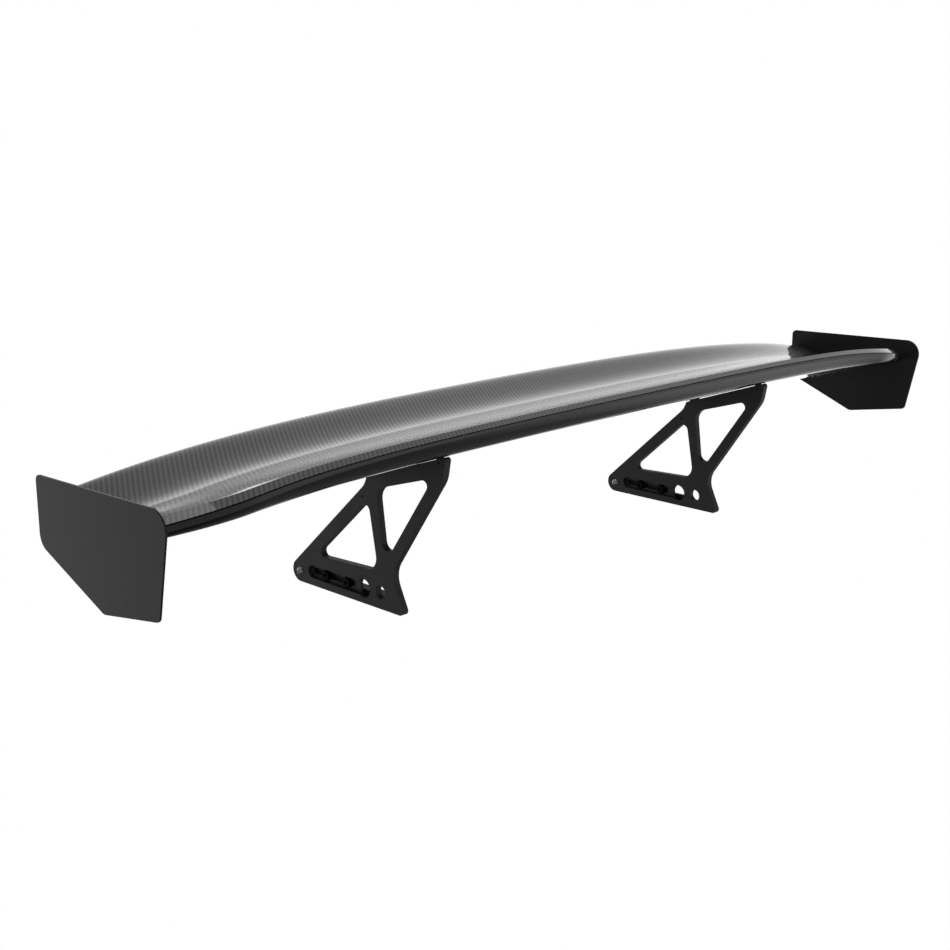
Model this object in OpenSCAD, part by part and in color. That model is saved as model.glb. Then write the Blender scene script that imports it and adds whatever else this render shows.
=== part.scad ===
// Racing rear wing on two triangulated uprights.
// +X runs across the car, +Y is the driving direction, +Z is up, millimetres.
// The base brackets stand on z = 0 and x = 0 is the middle of the span.

/* [Wing] */
// Distance between the outer faces of the end plates
wing_span = 1550; // [1400:1:1700]
// Laminate thickness of the two wing skins
skin_t = 2; // [1.2:0.1:3]
// Sheet thickness of the end plates
end_plate_t = 2.5; // [1.5:0.1:4]
// Outside diameter of the tube spar inside the wing
spar_d = 22; // [16:0.5:24]
// Thickness of the mounting ribs and their tongues
rib_t = 5; // [4:0.1:6]

/* [Uprights] */
// Distance between the middle planes of the two uprights
upright_pitch = 693; // [500:1:900]
// Plate thickness of the uprights
plate_t = 10; // [8:0.5:12]
// Shift of the uprights backwards along the base slots
slide = 0; // [0:0.5:20]
// Extra incidence of the wing, trailing edge up
incidence = 0; // [0:0.25:3]

/* [Base] */
// Thickness of the bracket web and flange
bracket_t = 5; // [4:0.5:8]
// Width of the bracket flange on the boot lid
flange_w = 37; // [30:1:60]
// Diameter of the holes in the flange
flange_hole_d = 8.5; // [6.5:0.1:9]

/* [Build] */
// Piece to draw

/* [Hidden] */
half = wing_span / 2;
tip_x = half - end_plate_t - 0.3;
cx = upright_pitch / 2;
seam = 0.3;
stations = 16;
pivot = [13, 148.5];
adjuster = [-131, 217.5];
adj_r = norm(adjuster - pivot);
adj_a = atan2(adjuster[1] - pivot[1], adjuster[0] - pivot[0]);
swing = 3;
adjuster_end = pivot + adj_r * [cos(adj_a + swing), sin(adj_a + swing)];
pin_r = 3;
clevis_w = rib_t + 0.3;
lug_u = [-0.544, 0.839];
lug_n = [0.839, 0.544];
spar_at = [12, 201];
clamp_y = [52, 96];
clamp_z = 20.6;
foot_at = [149, 15.5];
travel = 20;
web_x = plate_t / 2 + 0.3;
web_out = web_x + bracket_t;
$fn = 48;

// Corners of the flat outlines as [y, z, radius], from a datum near the wing pivot
end_plate_corners = [[80, 242.8, 8], [-181, 249, 24], [-155.6, 126.3, 8],
  [-47.5, 108.3, 15], [80, 161, 20]];
upright_corners = [[-65.5, 0.8, 6], [189, 0.8, 16], [9.4, 164.8, 28], [4, 177.4, 3.5],
  [-143.5, 227.2, 4], [-137.8, 196, 37], [-40, 53.9, 32]];
front_window = [[113.7, 46.5, 7], [2.5, 146.9, 9], [-15.3, 52.2, 18]];
rear_window = [[-13.4, 163.7, 19], [-119.8, 196.1, 7], [-26.6, 62.8, 12]];
web_corners = [[8, 0, 1], [162, 0, 12], [150, 34, 8], [38, 34, 4], [32, 16.5, 3], [8, 16.5, 4]];
flange_holes = [30, 130];
extent = [for (c = [end_plate_corners, upright_corners]) for (q = outline(c)) q[0]];
// Puts the origin in the middle of the overall box
datum_y = -(min(extent) + max(extent)) / 2;

// ---- outline helpers ----

function unit(v) = v / norm(v);

function wrap(a) = a > 180 ? a - 360 : a < -180 ? a + 360 : a;

// Points of the arc that rounds corner p between its neighbours
function corner(a, p, b, r) =
  let (u = unit(a - p), v = unit(b - p), h = acos(u * v) / 2)
  let (c = p + unit(u + v) * r / sin(h), s = p + u * r / tan(h) - c)
  let (e = p + v * r / tan(h) - c, a0 = atan2(s[1], s[0]))
  let (da = wrap(atan2(e[1], e[0]) - a0), n = max(2, ceil(abs(da) / 6)))
  [for (i = [0 : n]) c + r * [cos(a0 + da * i / n), sin(a0 + da * i / n)]];

// Closed outline from corners given as [y, z, radius]
function outline(c) =
  let (n = len(c))
  [for (i = [0 : n - 1]) let (a = c[(i + n - 1) % n], p = c[i], b = c[(i + 1) % n])
    for (q = corner([a[0], a[1]], [p[0], p[1]], [b[0], b[1]], p[2])) q];

// Flat piece lying in the YZ plane from x to x + t
module plate(x, t)
  translate([x, 0, 0]) rotate([90, 0, 90]) linear_extrude(t) children();

module slot(y0, y1, z, r) {
  translate([y0, z]) circle(r);
  translate([y1, z]) circle(r);
  translate([y0, z - r]) square([y1 - y0, 2 * r]);
}

// Round bar along X
module bar(x, t, y, z, r)
  translate([x, y, z]) rotate([0, 90, 0]) cylinder(r = r, h = t);

// Six-sided prism along X
module hex_bar(x, t, y, z, flats)
  translate([x, y, z]) rotate([0, 90, 0]) cylinder(r = flats / sqrt(3), h = t, $fn = 6);

// Part of a ring about the wing pivot, between two angles
module ring_sector(r0, r1, a0, a1) {
  n = 8;
  polygon(concat(
    [for (i = [0 : n]) pivot + r0 * [cos(a0 + (a1 - a0) * i / n), sin(a0 + (a1 - a0) * i / n)]],
    [for (i = [n : -1 : 0]) pivot + r1 * [cos(a0 + (a1 - a0) * i / n),
      sin(a0 + (a1 - a0) * i / n)]]));
}

// Outlines are drawn from a datum near the wing pivot; these set them into the part's frame
module based()
  translate([0, datum_y, 0]) children();

module slid()
  translate([0, datum_y - slide, 0]) children();

// ---- wing section ----
// u is the spanwise position, 0 in the middle and 1 at the tip.
// Section points are [fraction of chord behind the nose, height / chord].

function bez(a, b, c, d, n, i0) =
  [for (i = [i0 : n]) let (t = i / n, s = 1 - t)
    s * s * s * a + 3 * s * s * t * b + 3 * s * t * t * c + t * t * t * d];

function nose(u) = [79 + 37 * pow(max(0, 1 - u * u), 1.5), 240.5 - 33.5 * pow(u, 4)];

function tail(u) = [-152 - 30 * u * u + 45 * pow(max(0, (u - 0.84) / 0.16), 2),
  254 - 35 * pow(u, 6)];

function place(u, list) =
  let (n = nose(u), t = tail(u), c = n[0] - t[0])
  [for (q = list) n + (t - n) * q[0] + [0, c * q[1]]];

function chord(u) = nose(u)[0] - tail(u)[0];

// The crease ahead of the trailing edge stands out more towards the tips
function crease(u) =
  let (c = chord(u), w = 13 + 3 * pow(u, 4), rise = tail(u)[1] - nose(u)[1])
  [1 - w / c, (4.5 + 3.5 * pow(u, 4) + rise * w / c) / c];

// Upper side from the nose over the crease to the joint line at the trailing edge
function upper_side(u) =
  let (k = crease(u), g = (skin_t + 0.4) / (13 + 3 * pow(u, 4)))
  place(u, concat([[0, 0]],
    bez([0, 0.002], [0, 0.016], [0.016, 0.030], [0.037, 0.030], 5, 0),
    bez([0.037, 0.030], [0.12, 0.030], [0.26, -0.05], [0.42, -0.05], 9, 1),
    bez([0.42, -0.05], [0.56, -0.05], k - [0.22, 0.035], k, 8, 1),
    [[1, 0] + g * (k - [1, 0])]));

// Lower side from the nose back over the rear face to the trailing edge
function lower_side(u) =
  let (k = 1 - 0.32 * pow(u, 4), b = -0.012 - 0.02 * pow(u, 3), n = -seam / 270)
  place(u, concat([[0, n]],
    bez([0, n - 0.002], [0, -0.09 * k], [0.20, -0.245 * k], [0.34, -0.245 * k], 9, 0),
    bez([0.34, -0.245 * k], [0.46, -0.243 * k], [0.70, -0.1661 * k], [0.93, -0.1008 * k], 8, 1),
    bez([0.93, -0.1008 * k], [0.968, -0.09 * k], [0.988, b - 0.03 * k], [1, b], 5, 1),
    [[1, 0]]));

// The same curve moved by t to its right-hand side, seen along the list
function shifted(p, t) =
  let (n = len(p))
  [for (i = [0 : n - 1])
    let (d = p[min(i + 1, n - 1)] - p[max(i - 1, 0)])
    p[i] + t * [d[1], -d[0]] / norm(d)];

function flip(p) = [for (i = [len(p) - 1 : -1 : 0]) p[i]];

function span_of(p, i0, i1) = [for (i = [i0 : i1]) p[i]];

// Cross sections: each skin, and the space between the skins
function upper_ring(u) =
  concat(upper_side(u), flip(shifted(upper_side(u), -skin_t)));

function lower_ring(u) =
  concat(flip(shifted(lower_side(u), skin_t)), lower_side(u));

function inner_ring(u, t, i0) = concat(span_of(shifted(upper_side(u), -t), i0, 22),
  flip(span_of(shifted(lower_side(u), t), i0, 22)));

// Solid swept through rings of equal length; each ring is two matching curves
module sweep(xs, rings) {
  m = len(rings[0]);
  h = m / 2;
  last = (len(xs) - 1) * m;
  points = [for (j = [0 : len(xs) - 1]) for (q = rings[j]) [xs[j], q[0], q[1]]];
  sides = [for (j = [0 : len(xs) - 2]) for (i = [0 : m - 1])
    let (a = j * m + i, b = j * m + (i + 1) % m)
    for (f = [[a, b, b + m], [a, b + m, a + m]]) f];
  caps = [for (i = [0 : h - 2])
    let (a = i, b = i + 1, c = m - 2 - i, d = m - 1 - i)
    for (f = [[a, c, b], [a, d, c], [last + a, last + b, last + c],
      [last + a, last + c, last + d]]) f];
  polyhedron(points, concat(sides, caps));
}

// Stations crowd towards the tips, where the wing bends most
function spread(n) = [for (i = [-n : n]) tip_x * sin(90 * i / n)];

function even(x0, x1, n) = [for (i = [0 : n]) x0 + (x1 - x0) * i / n];

// ---- wing pieces ----

module turned()
  slid() translate([0, pivot[0], pivot[1]]) rotate([-incidence, 0, 0])
    translate([0, -pivot[0], -pivot[1]]) children();

module wing_upper_skin()
  turned() color([0.13, 0.13, 0.14])
    sweep(spread(stations), [for (x = spread(stations)) upper_ring(abs(x) / half)]);

// Outline of one tongue of the mounting rib, grown by g
module front_tongue(g) {
  translate(pivot) circle(5.4 + g);
  polygon([pivot - (5.4 + g) * lug_n, pivot - (5.4 + g) * lug_n + 50 * lug_u,
    pivot + (5.4 + g) * lug_n + 50 * lug_u, pivot + (5.4 + g) * lug_n]);
}

module rear_tongue(g) {
  ring_sector(adj_r - 4.75 - g, adj_r + 4.75 + g, adj_a - 8, adj_a + swing);
  translate(adjuster_end) circle(4.75 + g);
}

module wing_lower_skin()
  turned() color([0.1, 0.1, 0.11]) difference() {
    sweep(spread(stations), [for (x = spread(stations)) lower_ring(abs(x) / half)]);
    for (s = [-1, 1]) plate(s * cx - clevis_w / 2, clevis_w) front_tongue(0.4);
    for (s = [-1, 1]) plate(s * cx - clevis_w / 2, clevis_w) rear_tongue(0.4);
  }

module wing_spar()
  turned() color([0.2, 0.2, 0.22]) difference() {
    bar(-560, 1120, spar_at[0], spar_at[1], spar_d / 2);
    bar(-561, 1122, spar_at[0], spar_at[1], spar_d / 2 - 2);
  }

module wing_core()
  turned() color([0.75, 0.66, 0.5]) difference() {
    for (b = [[-tip_x + 7, -cx - 3, 9], [-cx + 3, cx - 3, 6], [cx + 3, tip_x - 7, 9]])
      sweep(even(b[0], b[1], b[2]),
        [for (x = even(b[0], b[1], b[2])) inner_ring(abs(x) / half, skin_t + 0.5, 2)]);
    bar(-562, 1124, spar_at[0], spar_at[1], spar_d / 2 + 0.3);
  }

module rib_outline() {
  difference() {
    polygon(inner_ring(cx / half, skin_t + 0.3, 2));
    translate(spar_at) circle(spar_d / 2 + 0.1);
    translate([62, 216]) circle(7);
    translate([-32, 215]) circle(8);
    translate([-66, 223]) circle(6);
  }
}

module mount_ribs()
  turned() color([0.1, 0.1, 0.11]) for (s = [-1, 1])
    plate(s * cx - rib_t / 2, rib_t) difference() {
      union() {
        rib_outline();
        intersection() {
          front_tongue(0);
          translate([-60, 100]) square([120, 92]);
        }
        intersection() {
          rear_tongue(0);
          translate([-150, 150]) square([60, 80]);
        }
      }
      translate(pivot) circle(4.02);
      ring_sector(adj_r - 3.15, adj_r + 3.15, adj_a, adj_a + swing);
      translate(adjuster) circle(3.15);
      translate(adjuster_end) circle(3.15);
    }

module tip_ribs()
  turned() color([0.2, 0.2, 0.21]) for (x = [-tip_x, tip_x - 6])
    plate(x, 6) polygon(inner_ring((tip_x - 3) / half, skin_t + 1.1, 4));

module end_plate_left()
  turned() color([0.12, 0.12, 0.13])
    plate(-half, end_plate_t) polygon(outline(end_plate_corners));

module end_plate_right()
  turned() color([0.12, 0.12, 0.13])
    plate(half - end_plate_t, end_plate_t) polygon(outline(end_plate_corners));

module pivot_bushes()
  turned() color([0.75, 0.6, 0.3]) for (s = [-1, 1]) difference() {
    bar(s * cx - rib_t / 2, rib_t, pivot[0], pivot[1], 4);
    bar(s * cx - rib_t / 2 - 1, rib_t + 2, pivot[0], pivot[1], pin_r + 0.05);
  }

// ---- uprights ----

module upright(x)
  slid() color([0.09, 0.09, 0.1]) difference() {
    plate(x - plate_t / 2, plate_t) difference() {
      polygon(outline(upright_corners));
      polygon(outline(front_window));
      polygon(outline(rear_window));
      translate([14.5, 21.8]) circle(13);
      translate([-19, 23.5]) circle(9.5);
      slot(43, 121, clamp_z, 4.3);
      translate(foot_at) circle(3.1);
      translate(pivot) circle(pin_r + 0.02);
      translate(adjuster) circle(3.02);
    }
    // pocket for the clamp bolt heads
    plate(x - plate_t / 2 - 1, 7) {
      translate([120.6, clamp_z]) circle(9.375);
      translate([22, clamp_z - 9.375]) square([98.6, 18.75]);
    }
    // clevis slots for the two tongues of the wing rib
    plate(x - clevis_w / 2, clevis_w) {
      translate(pivot) circle(6);
      polygon([pivot - 6 * lug_n, pivot - 6 * lug_n + 60 * lug_u,
        pivot + 30 * lug_n + 60 * lug_u, pivot + 6 * lug_n]);
      rear_tongue(0.4);
    }
  }

module left_upright() upright(-cx);

module right_upright() upright(cx);

module pivot_pin(x)
  slid() color([0.2, 0.2, 0.21]) difference() {
    bar(x - plate_t / 2 + 0.1, plate_t - 0.2, pivot[0], pivot[1], pin_r);
    hex_bar(x - plate_t / 2 - 1, 3.5, pivot[0], pivot[1], 3);
  }

module left_pivot_pin() pivot_pin(-cx);

module right_pivot_pin() pivot_pin(cx);

module adjuster_bolt(x)
  slid() color([0.1, 0.1, 0.11]) difference() {
    bar(x - plate_t / 2 + 0.4, plate_t - 0.6, adjuster[0], adjuster[1], 3);
    hex_bar(x - plate_t / 2 - 1, 5, adjuster[0], adjuster[1], 3);
  }

module left_adjuster_bolt() adjuster_bolt(-cx);

module right_adjuster_bolt() adjuster_bolt(cx);

module foot_screw(x)
  slid() color([0.75, 0.75, 0.77]) difference() {
    union() {
      bar(x - plate_t / 2 - 0.1, plate_t + bracket_t + 7, foot_at[0], foot_at[1], 3);
      intersection() {
        translate([x - plate_t / 2 - 0.1 + 7.225 - 3.2, foot_at[0], foot_at[1]]) sphere(7.225);
        bar(x - plate_t / 2 - 3.4, 3.3, foot_at[0], foot_at[1], 6);
      }
    }
    hex_bar(x - plate_t / 2 - 5, 3.4, foot_at[0], foot_at[1], 4);
  }

module left_foot_screw() foot_screw(-cx);

module right_foot_screw() foot_screw(cx);

module foot_nut(x)
  slid() color([0.7, 0.7, 0.72]) difference() {
    hex_bar(x + web_out + 0.25, 5, foot_at[0], foot_at[1], 10);
    bar(x + web_out - 1, 8, foot_at[0], foot_at[1], 3.05);
  }

module left_foot_nut() foot_nut(-cx);

module right_foot_nut() foot_nut(cx);

// ---- base ----

module bracket(x)
  based() color([0.08, 0.08, 0.09]) difference() {
    union() {
      plate(x + web_x, bracket_t) polygon(outline(web_corners));
      linear_extrude(bracket_t) polygon(outline([[x + web_x, 8, 1], [x + web_x, 156, 1],
        [x + web_x + flange_w, 156, 10], [x + web_x + flange_w, 8, 10]]));
      translate([x + web_out - 0.5, 12, bracket_t - 0.5]) rotate([-90, 0, 0])
        mirror([0, 1, 0]) linear_extrude(135) difference() {
          square(4.5);
          translate([4.5, 4.5]) circle(4);
        }
    }
    plate(x + web_x - 1, bracket_t + 2) {
      for (y = clamp_y) translate([y, clamp_z]) circle(4.2);
      slot(foot_at[0] - travel - 0.4, foot_at[0] + 0.4, foot_at[1], 3.2);
    }
    for (y = flange_holes) translate([x + web_x + 21, y, -1]) cylinder(d = flange_hole_d, h = 8);
  }

module left_bracket() bracket(-cx);

module right_bracket() bracket(cx);

head_x = plate_t / 2 - 6 + 0.25;

module clamp_bolts()
  based() color([0.12, 0.12, 0.13]) for (s = [-1, 1], y = clamp_y) difference() {
    union() {
      bar(s * cx - head_x - 5.05, 4, y, clamp_z, 6.5);
      bar(s * cx - head_x - 1.06, 20 + head_x, y, clamp_z, 4);
    }
    hex_bar(s * cx - head_x - 6, 3.2, y, clamp_z, 5);
  }

module clamp_washers()
  based() color([0.3, 0.3, 0.31]) for (s = [-1, 1], y = clamp_y) difference() {
    bar(s * cx - head_x - 1, 1, y, clamp_z, 8.4);
    bar(s * cx - head_x - 2, 3, y, clamp_z, 4.1);
  }

module clamp_nuts()
  based() color([0.72, 0.72, 0.74]) for (s = [-1, 1], y = clamp_y) difference() {
    hex_bar(s * cx + web_out + 0.05, 6.5, y, clamp_z, 13);
    bar(s * cx + web_out - 1, 9, y, clamp_z, 4.05);
  }

wing_upper_skin();
wing_lower_skin();
wing_spar();
wing_core();
mount_ribs();
tip_ribs();
end_plate_left();
end_plate_right();
pivot_bushes();
left_upright();
left_pivot_pin();
left_adjuster_bolt();
left_foot_screw();
left_foot_nut();
right_upright();
right_pivot_pin();
right_adjuster_bolt();
right_foot_screw();
right_foot_nut();
left_bracket();
right_bracket();
clamp_bolts();
clamp_washers();
clamp_nuts();
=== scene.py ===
"""Racing rear wing: looks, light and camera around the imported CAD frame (metres, +Z up)."""
import math

import bpy
from mathutils import Matrix, Vector


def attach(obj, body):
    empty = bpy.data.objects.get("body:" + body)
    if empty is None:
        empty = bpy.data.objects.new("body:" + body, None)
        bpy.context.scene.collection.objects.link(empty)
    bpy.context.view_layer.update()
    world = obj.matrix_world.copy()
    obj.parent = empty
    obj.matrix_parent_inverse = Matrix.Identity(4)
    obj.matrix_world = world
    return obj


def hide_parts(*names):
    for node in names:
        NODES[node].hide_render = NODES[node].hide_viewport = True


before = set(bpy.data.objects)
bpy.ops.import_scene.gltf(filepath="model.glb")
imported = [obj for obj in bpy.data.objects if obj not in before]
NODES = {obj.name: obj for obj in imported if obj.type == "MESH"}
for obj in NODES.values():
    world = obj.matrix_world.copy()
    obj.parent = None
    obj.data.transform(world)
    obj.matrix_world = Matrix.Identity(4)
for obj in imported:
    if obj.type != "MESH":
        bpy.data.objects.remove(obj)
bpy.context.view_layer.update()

# ---------------------------------------------------------------- node helpers


class Tree:
    """Short calls for building one material's nodes."""

    def __init__(self, name):
        self.mat = bpy.data.materials.new(name)
        self.mat.use_nodes = True
        self.nt = self.mat.node_tree
        self.nt.nodes.clear()
        out = self.nt.nodes.new("ShaderNodeOutputMaterial")
        self.bsdf = self.nt.nodes.new("ShaderNodeBsdfPrincipled")
        self.nt.links.new(self.bsdf.outputs[0], out.inputs[0])

    def put(self, socket, value):
        if isinstance(value, bpy.types.NodeSocket):
            self.nt.links.new(value, socket)
        else:
            socket.default_value = value

    def math(self, op, a, b=0.0, clamp=False):
        n = self.nt.nodes.new("ShaderNodeMath")
        n.operation = op
        n.use_clamp = clamp
        self.put(n.inputs[0], a)
        self.put(n.inputs[1], b)
        return n.outputs[0]

    def axes(self):
        """The piece's own coordinates, in metres."""
        c = self.nt.nodes.new("ShaderNodeTexCoord")
        s = self.nt.nodes.new("ShaderNodeSeparateXYZ")
        self.nt.links.new(c.outputs["Object"], s.inputs[0])
        return c.outputs["Object"], s.outputs[0], s.outputs[1], s.outputs[2]

    def noise(self, vec, scale, detail=3.0, rough=0.5, stretch=None):
        if stretch:
            m = self.nt.nodes.new("ShaderNodeMapping")
            m.inputs["Scale"].default_value = stretch
            self.nt.links.new(vec, m.inputs[0])
            vec = m.outputs[0]
        n = self.nt.nodes.new("ShaderNodeTexNoise")
        self.nt.links.new(vec, n.inputs["Vector"])
        n.inputs["Scale"].default_value = scale
        n.inputs["Detail"].default_value = detail
        n.inputs["Roughness"].default_value = rough
        return n.outputs[0]

    def ramp(self, fac, low, high, a=0.0, b=1.0):
        """A colour that runs from low to high as fac runs from a to b."""
        r = self.nt.nodes.new("ShaderNodeMapRange")
        self.put(r.inputs["Value"], fac)
        r.inputs["From Min"].default_value = a
        r.inputs["From Max"].default_value = b
        m = self.nt.nodes.new("ShaderNodeMix")
        m.data_type = "RGBA"
        self.nt.links.new(r.outputs[0], m.inputs["Factor"])
        self.put(m.inputs["A"], (*low, 1.0))
        self.put(m.inputs["B"], (*high, 1.0))
        return m.outputs["Result"]

    def lerp(self, fac, low, high, a=0.0, b=1.0):
        """A number that runs from low to high as fac runs from a to b."""
        r = self.nt.nodes.new("ShaderNodeMapRange")
        self.put(r.inputs["Value"], fac)
        r.inputs["From Min"].default_value = a
        r.inputs["From Max"].default_value = b
        r.inputs["To Min"].default_value = low
        r.inputs["To Max"].default_value = high
        return r.outputs[0]

    def bump(self, height, strength, distance):
        b = self.nt.nodes.new("ShaderNodeBump")
        b.inputs["Strength"].default_value = strength
        b.inputs["Distance"].default_value = distance
        self.nt.links.new(height, b.inputs["Height"])
        self.nt.links.new(b.outputs[0], self.bsdf.inputs["Normal"])

    def set(self, **values):
        for key, value in values.items():
            self.put(self.bsdf.inputs[key.replace("_", " ")], value)


# ---------------------------------------------------------------- materials

TOW = 0.0017
SKIN_TOW = 0.0021
SKIN_TURN = math.radians(15.0)


def twill(t, u, v, tow):
    """2x2 twill over coordinates u and v: (1 where the tow along v is on top, tow relief)."""
    a = t.math("DIVIDE", u, tow)
    b = t.math("DIVIDE", v, tow)
    step = t.math("SUBTRACT", t.math("FLOOR", a), t.math("FLOOR", b))
    over = t.math("LESS_THAN", t.math("FLOORED_MODULO", step, 4.0), 1.5)
    across_a = t.math("SINE", t.math("MULTIPLY", t.math("FRACT", a), math.pi))
    across_b = t.math("SINE", t.math("MULTIPLY", t.math("FRACT", b), math.pi))
    relief = t.math("ADD", t.math("MULTIPLY", over, across_a),
                    t.math("MULTIPLY", t.math("SUBTRACT", 1.0, over), across_b))
    return over, relief


def carbon(name, plane, dark, light, coat=1.0, coat_rough=0.04, tow=TOW, turn=0.0, spec=0.5):
    """Clear-coated carbon cloth lying in the given plane."""
    t = Tree(name)
    vec, x, y, z = t.axes()
    u, v = {"xy": (x, y), "yz": (y, z), "xz": (x, z)}[plane]
    if turn:
        c, s = math.cos(turn), math.sin(turn)
        u, v = (t.math("ADD", t.math("MULTIPLY", u, c), t.math("MULTIPLY", v, s)),
                t.math("SUBTRACT", t.math("MULTIPLY", v, c), t.math("MULTIPLY", u, s)))
    over, relief = twill(t, u, v, tow)
    patch = t.noise(vec, 9.0, 2.0)
    thread = t.noise(vec, 900.0, 2.0, stretch=(1.0, 0.25, 1.0))
    tone = t.math("ADD", t.math("MULTIPLY", over, 0.72), t.math("MULTIPLY", relief, 0.12))
    tone = t.math("ADD", tone, t.math("MULTIPLY", t.math("SUBTRACT", thread, 0.5), 0.35))
    tone = t.math("ADD", tone, t.math("MULTIPLY", t.math("SUBTRACT", patch, 0.5), 0.25))
    t.set(Base_Color=t.ramp(tone, dark, light, 0.0, 0.9),
          Roughness=t.lerp(over, 0.42, 0.32), Metallic=0.0,
          Coat_Weight=coat, Coat_Roughness=coat_rough, Coat_IOR=1.5)
    t.bsdf.inputs["Specular IOR Level"].default_value = spec
    t.bump(relief, 0.03, 0.0002)
    return t.mat


def anodised(name, tint, rough):
    """Satin black anodised plate: fine blasted grain, faint rolling direction."""
    t = Tree(name)
    vec, _, _, _ = t.axes()
    grain = t.noise(vec, 2600.0, 3.0)
    cloud = t.noise(vec, 26.0, 3.0)
    rolled = t.noise(vec, 240.0, 2.0, stretch=(1.0, 0.06, 1.0))
    tone = t.math("ADD", t.math("MULTIPLY", cloud, 0.5), t.math("MULTIPLY", rolled, 0.5))
    t.set(Base_Color=t.ramp(tone, [c * 0.75 for c in tint], [c * 1.3 for c in tint], 0.3, 0.7),
          Roughness=t.lerp(cloud, rough - 0.05, rough + 0.07, 0.3, 0.7), Metallic=0.0)
    t.bsdf.inputs["Specular IOR Level"].default_value = 0.22
    t.bump(grain, 0.12, 0.0001)
    return t.mat


def metal(name, tint, rough, grain_scale=1400.0, metallic=1.0, spec=0.5):
    """Turned or plated metal with fine marks and slight staining."""
    t = Tree(name)
    vec, _, _, _ = t.axes()
    marks = t.noise(vec, grain_scale, 2.0, stretch=(0.1, 1.0, 1.0))
    cloud = t.noise(vec, 120.0, 3.0)
    t.set(Base_Color=t.ramp(cloud, [c * 0.82 for c in tint], tint, 0.3, 0.7),
          Roughness=t.lerp(marks, rough - 0.06, rough + 0.1, 0.25, 0.75), Metallic=metallic)
    t.bsdf.inputs["Specular IOR Level"].default_value = spec
    t.bump(marks, 0.1, 0.00005)
    return t.mat


def foam(name):
    t = Tree(name)
    vec, _, _, _ = t.axes()
    cells = t.noise(vec, 1800.0, 2.0)
    t.set(Base_Color=t.ramp(cells, (0.5, 0.42, 0.26), (0.7, 0.62, 0.44), 0.3, 0.7), Roughness=0.9)
    t.bump(cells, 0.5, 0.0004)
    return t.mat


WING = carbon("wing_carbon", "xy", (0.012, 0.012, 0.0125), (0.085, 0.085, 0.087), coat=1.0,
              coat_rough=0.03, spec=0.4, tow=SKIN_TOW, turn=SKIN_TURN)
# Underside: the same carbon as the top skin, painted far darker and less specular as painted shade
# for the downward-facing lower skin.
UNDER_PAINTED_SHADE = carbon("under_carbon_painted_shade", "xy", (0.003, 0.003, 0.003), (0.007, 0.007, 0.0075), coat=1.0,
               coat_rough=0.03, spec=0.1)
PLATES = carbon("end_plate_carbon", "yz", (0.009, 0.009, 0.0095), (0.026, 0.026, 0.027),
                coat=0.12, coat_rough=0.2, spec=0.15)
LAMINATE = carbon("plain_laminate", "yz", (0.02, 0.02, 0.021), (0.05, 0.05, 0.052), coat=0.0)
BLACK_PLATE = anodised("black_anodised_plate", (0.037, 0.037, 0.038), 0.5)
# The uprights' anodising again, painted much darker as painted shade for the brackets and mount
# ribs, which sit in shade behind the upright slots and under the wing.
SHADED_BLACK_ANODISING = anodised("black_anodised_painted_shade", (0.008, 0.008, 0.0085), 0.52)
BLACK_STEEL = metal("black_oxide_steel", (0.012, 0.012, 0.013), 0.42, metallic=0.2)
# The black steel again, painted near black and dull as painted shade for the clamp bolts and
# washers deep in the upright slots.
SHADED_CLAMP_STEEL = metal("black_clamp_steel_painted_shade", (0.003, 0.003, 0.003), 0.6, metallic=0.0, spec=0.08)
FOOT_STEEL = metal("passivated_steel", (0.4, 0.41, 0.43), 0.36)
ZINC = metal("zinc_plated_steel", (0.42, 0.43, 0.45), 0.3)
BRONZE = metal("sintered_bronze", (0.5, 0.34, 0.15), 0.45)
FOAM = foam("structural_foam")

LOOKS = {
    "wing_upper_skin": WING, "wing_lower_skin": UNDER_PAINTED_SHADE,
    "end_plate_left": PLATES, "end_plate_right": PLATES,
    "wing_spar": LAMINATE, "tip_ribs": LAMINATE, "wing_core": FOAM,
    "mount_ribs": SHADED_BLACK_ANODISING, "pivot_bushes": BRONZE,
    "left_upright": BLACK_PLATE, "right_upright": BLACK_PLATE,
    "left_bracket": SHADED_BLACK_ANODISING, "right_bracket": SHADED_BLACK_ANODISING,
    "left_pivot_pin": BLACK_STEEL, "right_pivot_pin": BLACK_STEEL,
    "left_adjuster_bolt": BLACK_STEEL, "right_adjuster_bolt": BLACK_STEEL,
    "clamp_bolts": SHADED_CLAMP_STEEL, "clamp_washers": SHADED_CLAMP_STEEL,
    "left_foot_screw": FOOT_STEEL, "right_foot_screw": FOOT_STEEL,
    "left_foot_nut": ZINC, "right_foot_nut": ZINC, "clamp_nuts": ZINC,
}
for name, look in LOOKS.items():
    for slot in NODES[name].material_slots:
        slot.material = look

# ---------------------------------------------------------------- wing skins
# Finer meshes of the two skins, so that they reflect smoothly. They repeat the CAD's section
# in millimetres, on the CAD's drawing datum, and DATUM moves them into the frame.

HALF = 775.0
TIP = 772.2
SKIN = 2.0
SEAM = 0.3
DATUM = 5.81289
RIBS = (-346.5, 346.5)
PIVOT = Vector((13.0, 148.5))
ADJUSTER = Vector((-131.0, 217.5))
SLOT_HALF_THICKNESS = 2.65
FRONT_SLOT_HALF_WIDTH = 5.8
REAR_SLOT_HALF_WIDTH = 5.15
REAR_SLOT_FROM, REAR_SLOT_SWEEP = math.radians(8.0), math.radians(11.0)
STATIONS = 72
SHARP = math.radians(13.0)


def bezier(a, b, c, d, n, first=1):
    """Points of a cubic curve, as vectors."""
    a, b, c, d = Vector(a), Vector(b), Vector(c), Vector(d)
    out = []
    for i in range(first, n + 1):
        t = i / n
        r = 1.0 - t
        out.append(a * r ** 3 + b * 3 * r * r * t + c * 3 * r * t * t + d * t ** 3)
    return out


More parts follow.
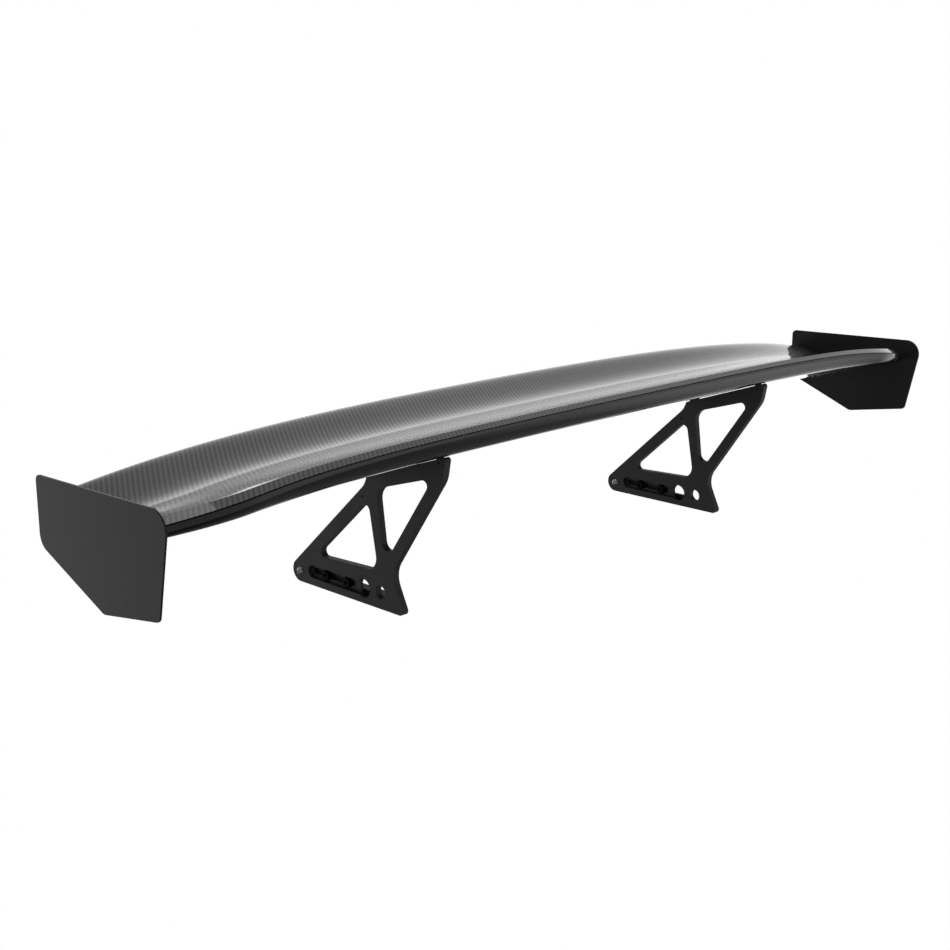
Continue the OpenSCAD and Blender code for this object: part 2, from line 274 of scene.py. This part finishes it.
def ends(u):
    """Nose and trailing edge at spanwise position u."""
    return (Vector((79 + 37 * max(0.0, 1 - u * u) ** 1.5, 240.5 - 33.5 * u ** 4)),
            Vector((-152 - 30 * u * u + 45 * max(0.0, (u - 0.84) / 0.16) ** 2,
                    254 - 35 * u ** 6)))


def placed(u, line):
    """Section points, given as fractions of the chord, in mm at spanwise position u."""
    nose, tail = ends(u)
    return [nose + (tail - nose) * q.x + Vector((0.0, (nose.x - tail.x) * q.y)) for q in line]


def upper_side(u):
    """Nose to the seam at the trailing edge, over the crease."""
    nose, tail = ends(u)
    chord = nose.x - tail.x
    width = 13 + 3 * u ** 4
    crease = Vector((1 - width / chord,
                     (4.5 + 3.5 * u ** 4 + (tail.y - nose.y) * width / chord) / chord))
    end = Vector((1.0, 0.0))
    line = [Vector((0.0, 0.0))]
    line += bezier((0, 0.002), (0, 0.016), (0.016, 0.030), (0.037, 0.030), 10, 0)
    line += bezier((0.037, 0.030), (0.12, 0.030), (0.26, -0.05), (0.42, -0.05), 24)
    line += bezier((0.42, -0.05), (0.56, -0.05), crease - Vector((0.22, 0.035)), crease, 24)
    line.append(end + (crease - end) * ((SKIN + 0.4) / width))
    return placed(u, line)


def lower_side(u):
    """Nose to trailing edge, round the rear face."""
    k = 1 - 0.32 * u ** 4
    b = -0.012 - 0.02 * u ** 3
    n = -SEAM / 270
    line = [Vector((0.0, n))]
    line += bezier((0, n - 0.002), (0, -0.09 * k), (0.20, -0.245 * k), (0.34, -0.245 * k), 28, 0)
    line += bezier((0.34, -0.245 * k), (0.46, -0.243 * k), (0.70, -0.1661 * k),
                   (0.93, -0.1008 * k), 20)
    line += bezier((0.93, -0.1008 * k), (0.968, -0.09 * k), (0.988, b - 0.03 * k), (1, b), 16)
    line.append(Vector((1.0, 0.0)))
    return placed(u, line)


def thickened(line, way):
    """Closed ring: the line, and the same line one skin thickness inside; way is 1 on top."""
    inner = []
    for i, p in enumerate(line):
        d = (line[min(i + 1, len(line) - 1)] - line[max(i - 1, 0)]).normalized()
        inner.append(p + Vector((-d.y, d.x)) * SKIN * way)
    ring = line + inner[::-1]
    return ring if way > 0 else ring[::-1]


def mesh_object(name, verts, faces):
    """An object from points in mm on the drawing datum."""
    mesh = bpy.data.meshes.new(name)
    mesh.from_pydata([(x / 1000, (y + DATUM) / 1000, z / 1000) for x, y, z in verts], [], faces)
    mesh.update()
    obj = bpy.data.objects.new(name, mesh)
    bpy.context.collection.objects.link(obj)
    return obj


def tongue_slots():
    """Prisms for the openings where the rib tongues leave the lower skin."""
    along, across = Vector((-0.544, 0.839)) * 50, Vector((0.839, 0.544)) * FRONT_SLOT_HALF_WIDTH
    front = [PIVOT - across, PIVOT + across, PIVOT + across + along, PIVOT - across + along]
    arm = ADJUSTER - PIVOT
    radius, start = arm.length, math.atan2(arm.y, arm.x)
    sweep = [start - REAR_SLOT_FROM + REAR_SLOT_SWEEP * i / 8 for i in range(9)]
    rear = [PIVOT + Vector((math.cos(a), math.sin(a))) * (radius + side)
            for side, angles in ((REAR_SLOT_HALF_WIDTH, sweep),
                                 (-REAR_SLOT_HALF_WIDTH, sweep[::-1])) for a in angles]
    for x in RIBS:
        for n, outline in enumerate((front, rear)):
            m = len(outline)
            verts = [(x + s * SLOT_HALF_THICKNESS, q.x, q.y) for s in (-1, 1) for q in outline]
            faces = [tuple(range(m))[::-1], tuple(range(m, 2 * m))]
            faces += [(i, (i + 1) % m, m + (i + 1) % m, m + i) for i in range(m)]
            yield mesh_object("slot_cutter_%d" % n, verts, faces)


def skin(name, node, side, way, look, cutters=()):
    """One skin swept along the span, less the cutters, in place of its CAD node."""
    n = STATIONS
    verts, faces = [], []
    for k in range(-n, n + 1):
        x = TIP * math.sin(math.pi / 2 * k / n)
        ring = thickened(side(abs(x) / HALF), way)
        verts += [(x, p.x, p.y) for p in ring]
    m = len(ring)
    for k in range(2 * n):
        for i in range(m):
            a, b = k * m + i, k * m + (i + 1) % m
            faces.append((a, b, b + m, a + m))
    for i in range(m // 2 - 1):
        quad = (i, i + 1, m - 2 - i, m - 1 - i)
        faces.append(quad[::-1])
        faces.append(tuple(2 * n * m + q for q in quad))
    obj = mesh_object(name, verts, faces)
    for cutter in cutters:
        cut = obj.modifiers.new("cut", "BOOLEAN")
        cut.object = cutter
        cut.operation = "DIFFERENCE"
        cut.solver = "EXACT"
    if cutters:
        bpy.context.view_layer.update()
        graph = bpy.context.evaluated_depsgraph_get()
        mesh = bpy.data.meshes.new_from_object(obj.evaluated_get(graph))
        obj.modifiers.clear()
        obj.data = mesh
        for cutter in cutters:
            bpy.data.objects.remove(cutter)
    obj.data.materials.clear()
    obj.data.materials.append(look)
    obj.data.polygons.foreach_set("use_smooth", [True] * len(obj.data.polygons))
    obj.data.set_sharp_from_angle(angle=SHARP)
    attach(obj, "wing")
    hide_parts(node)


skin("upper_skin_surface", "wing_upper_skin", upper_side, 1, WING)
skin("lower_skin_surface", "wing_lower_skin", lower_side, -1, UNDER_PAINTED_SHADE, list(tongue_slots()))

# ---------------------------------------------------------------- studio


def softbox(name, at, target, size, power):
    light = bpy.data.lights.new(name, "AREA")
    light.shape = "RECTANGLE"
    light.size, light.size_y = size
    light.energy = power
    obj = bpy.data.objects.new(name, light)
    obj.location = at
    obj.rotation_euler = (Vector(target) - Vector(at)).to_track_quat("-Z", "Y").to_euler()
    bpy.context.collection.objects.link(obj)


BACKDROP_WAY = (0.713, 0.701, 0.0)
WORLD_STRENGTH = 1.15


def backdrop():
    """A white shell that only the camera sees; the world below lights the wing."""
    rings, sides, radius = 16, 32, 20.0
    verts = [(radius * math.sin(math.pi * i / rings) * math.cos(2 * math.pi * k / sides),
              radius * math.sin(math.pi * i / rings) * math.sin(2 * math.pi * k / sides),
              radius * math.cos(math.pi * i / rings))
             for i in range(rings + 1) for k in range(sides)]
    faces = [(i * sides + k, i * sides + (k + 1) % sides,
              (i + 1) * sides + (k + 1) % sides, (i + 1) * sides + k)
             for i in range(rings) for k in range(sides)]
    mesh = bpy.data.meshes.new("backdrop")
    mesh.from_pydata(verts, [], faces)
    obj = bpy.data.objects.new("backdrop", mesh)
    bpy.context.collection.objects.link(obj)
    t = Tree("white_backdrop")
    t.set(Base_Color=(0.0, 0.0, 0.0, 1.0), Emission_Color=(1.0, 1.0, 1.0, 1.0))
    t.bsdf.inputs["Emission Strength"].default_value = 1.0
    t.bsdf.inputs["Specular IOR Level"].default_value = 0.0
    mesh.materials.append(t.mat)
    for ray in ("visible_diffuse", "visible_glossy", "visible_transmission", "visible_shadow"):
        setattr(obj, ray, False)


def surround(height, facing):
    """Studio light by direction: (height, level) stops, dimmed by (facing, level) stops."""
    world = bpy.data.worlds.new("studio")
    world.use_nodes = True
    nt = world.node_tree
    c = nt.nodes.new("ShaderNodeTexCoord")
    xyz = nt.nodes.new("ShaderNodeSeparateXYZ")
    nt.links.new(c.outputs["Generated"], xyz.inputs[0])
    dot = nt.nodes.new("ShaderNodeVectorMath")
    dot.operation = "DOT_PRODUCT"
    nt.links.new(c.outputs["Generated"], dot.inputs[0])
    dot.inputs[1].default_value = BACKDROP_WAY
    levels = []
    for source, stops in ((xyz.outputs[2], height), (dot.outputs["Value"], facing)):
        half = nt.nodes.new("ShaderNodeMath")
        half.operation = "MULTIPLY_ADD"
        nt.links.new(source, half.inputs[0])
        half.inputs[1].default_value = 0.5
        half.inputs[2].default_value = 0.5
        ramp = nt.nodes.new("ShaderNodeValToRGB")
        nt.links.new(half.outputs[0], ramp.inputs[0])
        r = ramp.color_ramp
        while len(r.elements) < len(stops):
            r.elements.new(0.5)
        for e, (at, v) in zip(r.elements, stops):
            e.position = at * 0.5 + 0.5
            e.color = (v, v, v, 1.0)
        levels.append(ramp.outputs[0])
    mul = nt.nodes.new("ShaderNodeVectorMath")
    mul.operation = "MULTIPLY"
    nt.links.new(levels[0], mul.inputs[0])
    nt.links.new(levels[1], mul.inputs[1])
    nt.links.new(mul.outputs[0], nt.nodes["Background"].inputs[0])
    nt.nodes["Background"].inputs[1].default_value = WORLD_STRENGTH
    bpy.context.scene.world = world


backdrop()
surround([(-1.0, 0.1), (-0.64, 0.1), (-0.5, 0.85), (-0.35, 1.0), (0.1, 1.0), (0.25, 0.8),
          (0.42, 0.42), (0.6, 0.26), (1.0, 0.35)],
         [(-1.0, 0.3), (-0.2, 0.4), (0.1, 0.55), (0.5, 1.0), (1.0, 1.0)])
softbox("top_box", (-0.6, -0.6, 3.4), (0.0, 0.0, 0.2), (4.0, 3.0), 50)
bpy.context.scene.view_settings.view_transform = "Standard"

# ---------------------------------------------------------------- camera

AZIMUTH = math.radians(-45.496)
ELEVATION = math.radians(14.145)
STATION = Vector((-1.53594, -1.35158, 0.63228))
back = Vector((math.sin(AZIMUTH) * math.cos(ELEVATION),
               -math.cos(AZIMUTH) * math.cos(ELEVATION), math.sin(ELEVATION)))
right = Vector((math.cos(AZIMUTH), math.sin(AZIMUTH), 0.0))
up = back.cross(right)
camera_data = bpy.data.cameras.new("camera")
camera_data.lens = 54.18
camera_data.sensor_width = 36.0
camera_data.clip_end = 50.0
camera = bpy.data.objects.new("camera", camera_data)
camera.matrix_world = Matrix.Translation(STATION) @ Matrix((right, up, back)).transposed().to_4x4()
bpy.context.collection.objects.link(camera)
bpy.context.scene.camera = camera
